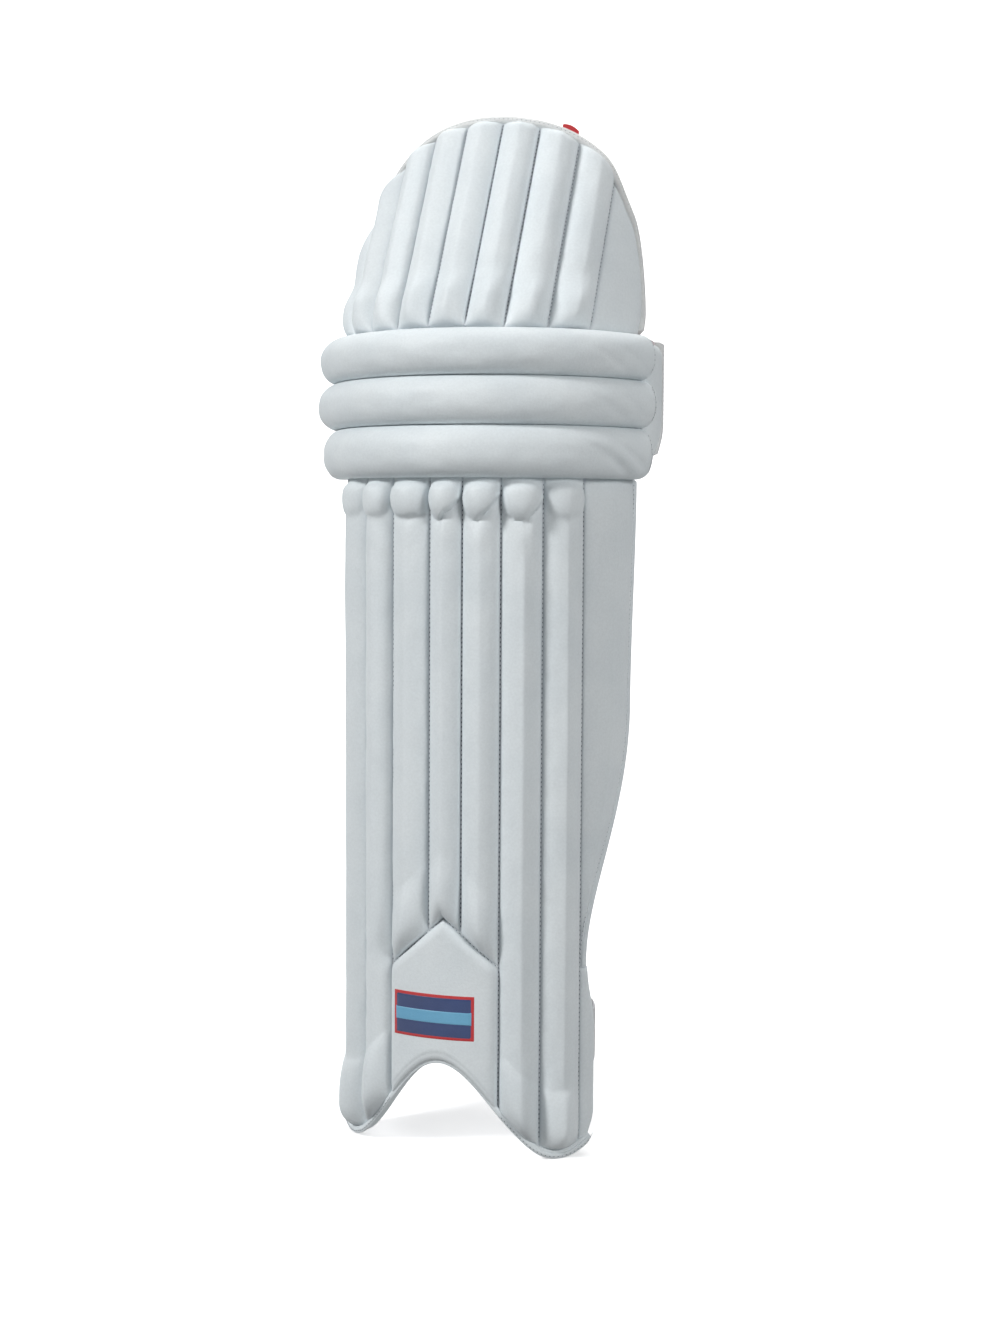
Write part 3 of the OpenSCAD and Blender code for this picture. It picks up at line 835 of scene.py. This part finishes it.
def flap_place(u, v):
    a, i, t, w = across(FLAP, u)
    s0, s1 = flap_foot(a) + 0.3, flap_top(a) - 4.2 - 1.6 * t * smooth((-a - 5) / 15)
    s = s0 + (s1 - s0) * v
    return a, i, t, w, s, s - s0, s1 - s


def flap_front(u, v):
    a, i, t, w, s, b, c = flap_place(u, v)
    x, d = t * w, (1 - np.abs(t)) * w
    h = crown(t, w, 0.05)
    full = 8.6 * RISE[i] + 0.5 * noise(i * 2.3, s / 60, 41)
    full = full + 3.0 * bell(b - 20 - 0.15 * x, 12) * (0.45 + 0.55 * bell(t - 0.25, 0.55))
    full = full - 0.7 * bell(b - 42 - 0.2 * x, 9)
    full = full * np.maximum(swell(b / 11, 2.2, 0.5), 0.05) * np.maximum(swell(c / 10, 2.2, 0.5), 0.05)
    wander = 0.35 * noise(arc(a) / 10, s / 30, 42) + 0.22 * noise(arc(a) / 4, s / 12, 43)
    pucker = 0.5 * noise(s / 6, i * 5.3 + np.sign(t), 44) * np.exp(-d / 4) * smooth((d - 0.4) / 2)
    beat = 0.22 * np.cos(2 * math.pi * s / PITCH) * np.exp(-d / 1.6)
    return flap(VALLEY + full * h + wander * smooth(d / 5) + pucker + beat, a, s)


def flap_back(u, v):
    a, i, t, w, s, b, c = flap_place(u, v)
    return flap(101.5 + 0 * a, a, s)


# painted shade: darkens the grooves between the flap's channels and its top and foot edges
def flap_seam_shade(u, v):
    a, i, t, w, s, b, c = flap_place(u, v)
    return 0.8 * bell((1 - np.abs(t)) * w, 0.8) + 0.3 * bell(c, 1.5) + 0.5 * bell(b, 1.5)


thigh = solid("thigh_cover", 34 * 8, 150, flap_front, flap_back, flap_seam_shade)
add(thigh, HINGED, LEATHER, ["thigh_facing", "thigh_channel_filling"])
for a in FLAP[1:]:
    s = np.arange(float(flap_foot(a)) + 6, float(flap_top(a)) - 7, 3.0)
    stitch(HINGED, flap(VALLEY + 0.25 + 0 * s, a, s), flap(1000.0 + 0 * s, a, s) - flap(999.0 + 0 * s, a, s))


def side_panel(u, v):
    a = FLAP[8] + 0.2 + (FLAP_EDGE - 1.5 - FLAP[8]) * u
    s0, s1 = flap_foot(a) + 0.3, flap_top(a) - 4.5
    return a, s0 + (s1 - s0) * v, s0, s1


def gusset_front(u, v):
    a, s, s0, s1 = side_panel(u, v)
    side = np.minimum(arc(a - FLAP[8]), arc(FLAP_EDGE - 1 - a))
    e = swell(side / 12, 2.2, 0.6) * swell((s - s0) / 10, 2, 0.6) * swell((s1 - s) / 12, 2, 0.6)
    return flap(106.6 + 3.6 * e + 0.3 * noise(arc(a) / 12, s / 16, 50) * e, a, s)


# painted shade: darkens the side panel along its seam with the channels and along its top edge
def gusset_seam_shade(u, v):
    a, s, s0, s1 = side_panel(u, v)
    return 0.7 * bell(arc(a - FLAP[8]), 1.5) + 0.4 * bell(s1 - s, 2)


def gusset_back(u, v):
    return flap(101.5 + 0 * u, *side_panel(u, v)[:2])


gusset = solid("thigh_side_cover", 50, 110, gusset_front, gusset_back, gusset_seam_shade)
add(gusset, HINGED, LEATHER, ["thigh_gusset"])


def inside_flap(u, v, r):
    """A point of the flap's lining, rippled a little on its inner face."""
    a = FLAP[0] + (FLAP_EDGE - FLAP[0]) * u
    s0, s1 = flap_foot(a, 98.0) + 0.5, flap_top(a) - 4
    s = s0 + (s1 - s0) * v
    return flap(r + 0.3 * noise(arc(a) / 14, s / 14, 55) * (r < 100), a, s)


thigh_cloth = solid(
    "thigh_lining_cloth",
    120,
    80,
    lambda u, v: inside_flap(u, v, 101.3 + 0 * u),
    lambda u, v: inside_flap(u, v, 98.0 + 0 * u),
)
add(thigh_cloth, HINGED, KNIT, ["thigh_lining"])

# the binding along the flap's sides and top
def flap_side(a):
    """The 30 heights of the flap's side edge at one angle, from its foot up."""
    return np.linspace(float(flap_foot(a, 104.0)) + 1, float(flap_top(a)) - 0.5, 30)


ends = np.linspace(FLAP[0], FLAP_EDGE, 400)
a = np.concatenate([np.full(30, FLAP[0]), ends, np.full(30, FLAP_EDGE)])
s = np.concatenate([flap_side(FLAP[0]), flap_top(ends), flap_side(FLAP_EDGE)[::-1]])
edge_line = spread(np.stack([arc(a), s], -1), 2.2)
for _ in range(4):
    edge_line[1:-1] = (edge_line[:-2] + 2 * edge_line[1:-1] + edge_line[2:]) / 4
step = np.gradient(edge_line, axis=0)
step /= np.linalg.norm(step, axis=1)[:, None]
a, s = np.degrees(edge_line[:, 0] / 110), edge_line[:, 1]
line = flap(104.6 + 0 * a, a, s)
face = flap(1000.0 + 0 * s, a, s) - flap(999.0 + 0 * s, a, s)
side = flap(104.6 + 0 * a, a + 0.5, s) - line
side /= np.linalg.norm(side, axis=1)[:, None]
up = flap(104.6 + 0 * a, a, s + 1) - line
out = side * -step[:, 1:2] + up * step[:, :1]
binding = tape("thigh_tape", line, out, face, 5.6, 6.4, 28, 0.7)
add(binding, HINGED, TAPE, ["thigh_binding"])
stitch(HINGED, (flap(110.9 + 0 * a, a, s) - out * 2.6)[4:-4], face[4:-4])


def tab_at(u, v, r):
    a = 28.5 + 7 * u
    return flap(r + 0 * u, a, 141 + 35.5 * v - 0.14 * (a - 31) ** 2)


tab = solid("thigh_edge_tab", 12, 12, lambda u, v: tab_at(u, v, 98.3), lambda u, v: tab_at(u, v, 97.3))
add(tab, HINGED, RED, ["thigh_tab"])

# ---------- straps ----------
# Each strap lies on a circle: its centre's x and y, its radius, its two end angles and its height.
STRAPS = {
    "knee": (-1, 0, 101.7, 101, 266, 502.5),
    "calf": (-2.5, -2, 94.8, 80.4, 256, 330),
    "ankle": (4, -34, 75.4, 78.6, 254, 68),
}
STRAP_WIDE, STRAP_THICK = 38.0, 2.4


def strap(name, circle, r, thick, a0, a1, wide, power, material, replaces):
    x0, y0, z0 = circle[0], circle[1], circle[5]

    def shape(u, v):
        x, y = section(v, power, power)
        near = np.minimum(u, 1 - u) * arc(a1 - a0, r)
        end = dome(near / 2.5, 0.04)
        a = a0 + (a1 - a0) * u
        z = z0 + x * (wide / 2 - 0.5 + 0.5 * end) + 0.35 * noise(u * 9, 1.5, z0)
        out = r + y * thick / 2 * (0.4 + 0.6 * end) + 0.15 * noise(u * 12, 2.5, z0)
        return cyl(out, a, z) + np.array([x0, y0, 0])

    o = loft(name, 160, 28, shape, 60)
    return add(o, replaces.split("_")[0] + "_strap_band", material, [replaces])


for key, circle in STRAPS.items():
    r, a0, a1 = circle[2:5]
    o = strap(key + "_strap_webbing", circle, r, STRAP_THICK, a0, a1, STRAP_WIDE, 7, WEB, key + "_strap")
sleeve = strap("calf_strap_pad", STRAPS["calf"], 90.6, 6.0, 145, 210, 50, 2.6, KNIT, "calf_strap_sleeve")


a = np.linspace(SHIN[0], SHIN[7], 200)
tall = 450.3
cut = float(np.mean(tall - bottom_at(a))) / tall
z = np.linspace(131, 451.5, 200)
wide = arc(wing_edge(z) - 2.4 - SHIN[7] - 1, 95.2)
cut = float(np.mean(wide) / wide.max())
a = np.linspace(FLAP[0], FLAP_EDGE, 200)
tall = flap_top(a) - 4 - flap_foot(a, 98.0)
cut = float(np.mean(tall) / tall.max())
wide = arc(FLAP_EDGE - FLAP[0], 99.6)

# ---------- stitches ----------
for key, rows in stitch_rows.items():
    if rows:
        label = "flap" if key == HINGED else key
        threads = stitch_mesh("stitches_" + label, rows, (0.95, 0.30, 0.26), 6, 4)
        # dark beads between the stitches mark the needle holes; their dark colour is painted shade for the
        # shadow in the holes and gaps
        holes = stitch_mesh("needle_hole_shades_" + label, rows, (0.50, 0.26, 0.16), 6, 3, PITCH / 2)
        add(threads, key, THREAD)
        add(holes, key, HOLE_SHADE)

# ---------- finishes of the CAD's own pieces ----------
for name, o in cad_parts.items():
    if "patch" in name or "hook" in name:
        dress(o, FUZZ)
    elif "strap" in name or "tab" in name or "anchor" in name or "sleeve" in name:
        dress(o, WEB)
    elif "canes" in name:
        dress(o, CANE)
    else:
        dress(o, FOAM)

# ---------- floor, light and camera ----------
bpy.ops.object.select_all(action="DESELECT")
bpy.ops.mesh.primitive_plane_add(size=12, location=(0, 0, cad_low.z - 0.0015))
floor = bpy.context.object
floor.name = "floor"
floor.data.materials.append(FLOOR)
bpy.ops.mesh.primitive_plane_add(size=14, location=(-0.5, 2.0, 0), rotation=(math.pi / 2, 0, 0))
backdrop = bpy.context.object
backdrop.name = "backdrop"
paper = bpy.data.materials.new("backdrop_paper")
paper.use_nodes = True
glow = next(n for n in paper.node_tree.nodes if n.type == "BSDF_PRINCIPLED")
glow.inputs["Emission Color"].default_value = (1, 1, 1, 1)
glow.inputs["Emission Strength"].default_value = 1.0
backdrop.data.materials.append(paper)
backdrop.visible_diffuse = backdrop.visible_glossy = backdrop.visible_shadow = False
floor_glow = next(n for n in FLOOR.node_tree.nodes if n.type == "BSDF_PRINCIPLED")
floor_glow.inputs["Emission Color"].default_value = (1, 1, 1, 1)
floor_glow.inputs["Emission Strength"].default_value = 0.42
floor.visible_diffuse = False

scene = bpy.context.scene
world = bpy.data.worlds.new("studio")
scene.world = world
world.use_nodes = True
sky = world.node_tree.nodes["Background"]
sky.inputs["Color"].default_value = (1.0, 1.0, 1.0, 1)
seen = world.node_tree.nodes.new("ShaderNodeLightPath")
level = world.node_tree.nodes.new("ShaderNodeMapRange")
level.inputs["To Min"].default_value, level.inputs["To Max"].default_value = 0.24, 1.05
link(world.node_tree, seen.outputs["Is Camera Ray"], level.inputs["Value"])
link(world.node_tree, level.outputs["Result"], sky.inputs["Strength"])


def lamp(name, place, aim, size, power, tone=(1, 1, 1)):
    data = bpy.data.lights.new(name, "AREA")
    data.shape, data.size, data.energy, data.color = "SQUARE", size, power, tone
    o = bpy.data.objects.new(name, data)
    scene.collection.objects.link(o)
    o.location = place
    o.rotation_euler = (Vector(aim) - Vector(place)).to_track_quat("-Z", "Y").to_euler()
    return o


lamp("key", (-2.10, -2.60, 2.60), (0, -0.05, 0.36), 0.80, 106)
lamp("fill", (2.6, -1.5, 1.5), (0, 0, 0.33), 0.8, 34)
lamp("floor_wash", (-0.2, 1.6, 2.6), (0.0, 1.4, 0), 3.0, 60)

camera = bpy.data.cameras.new("camera")
camera.lens = 53
camera.sensor_width = 36
eye = bpy.data.objects.new("camera", camera)
scene.collection.objects.link(eye)
eye.location = (0.4473, -1.3055, 0.4251)
forward = Vector((-0.3226, 0.9438, -0.0714)).normalized()
side = forward.cross(Vector((0, 0, 1))).normalized()
top = side.cross(forward)
turn = Matrix((side, top, -forward)).transposed().to_4x4()
eye.rotation_euler = (turn @ Matrix.Rotation(math.radians(0.32), 4, "Z")).to_euler()
scene.camera = eye
scene.view_settings.view_transform = "Standard"
